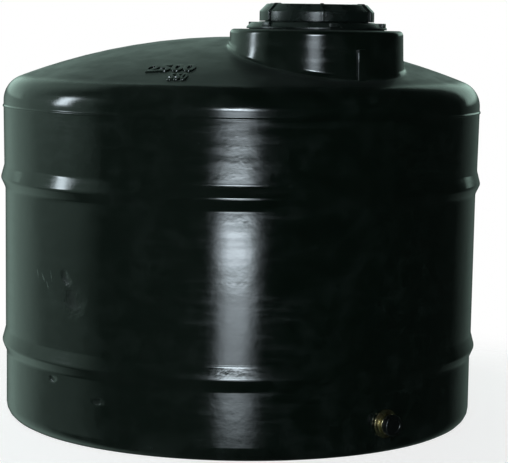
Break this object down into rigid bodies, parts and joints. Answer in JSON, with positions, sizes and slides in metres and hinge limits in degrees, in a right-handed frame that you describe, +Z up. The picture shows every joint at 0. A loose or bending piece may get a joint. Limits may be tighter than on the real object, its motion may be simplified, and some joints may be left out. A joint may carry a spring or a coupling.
{
  "type": "water tank",
  "caption": "Upright round moulded plastic water tank with ribbed wall, domed roof, offset manway with screw lid, and capped outlet",
  "frame": {"origin": "centre of the flat base on the ground, on the tank's axis", "axes": "+Z up along the tank's axis, the front looks along -Y and the outlet lies between -Y and +X"},
  "size_m": [1.666, 1.666, 1.4378],
  "materials": {
    "polyethylene": "gloss",
    "lid_plastic": "satin",
    "black_plastic": "satin",
    "rubber": "matt",
    "brass": "satin"
  },
  "bodies": {
    "tank": {"wall_front": "polyethylene", "wall_front_right": "polyethylene", "wall_right": "polyethylene", "wall_back_right": "polyethylene", "wall_back": "polyethylene", "wall_back_left": "polyethylene", "wall_left": "polyethylene", "wall_front_left": "polyethylene", "tank_floor": "polyethylene", "shoulder": "polyethylene", "dome": "polyethylene", "manway_drum": "polyethylene", "neck_gasket": "rubber", "neck_ring": "lid_plastic", "outlet_outer_seal": "rubber", "outlet_inner_seal": "rubber", "outlet_tube": "brass", "outlet_flange": "brass", "outlet_back_nut": "brass", "outlet_cap": "black_plastic"},
    "lid": {"lid": "lid_plastic", "lid_seal": "rubber"}
  },
  "joints": [
    {"name": "lid_lift", "type": "slide", "parent": "tank", "child": "lid", "axis": [0, 0, 1], "range_m": [0, 0.15]}
  ]
}
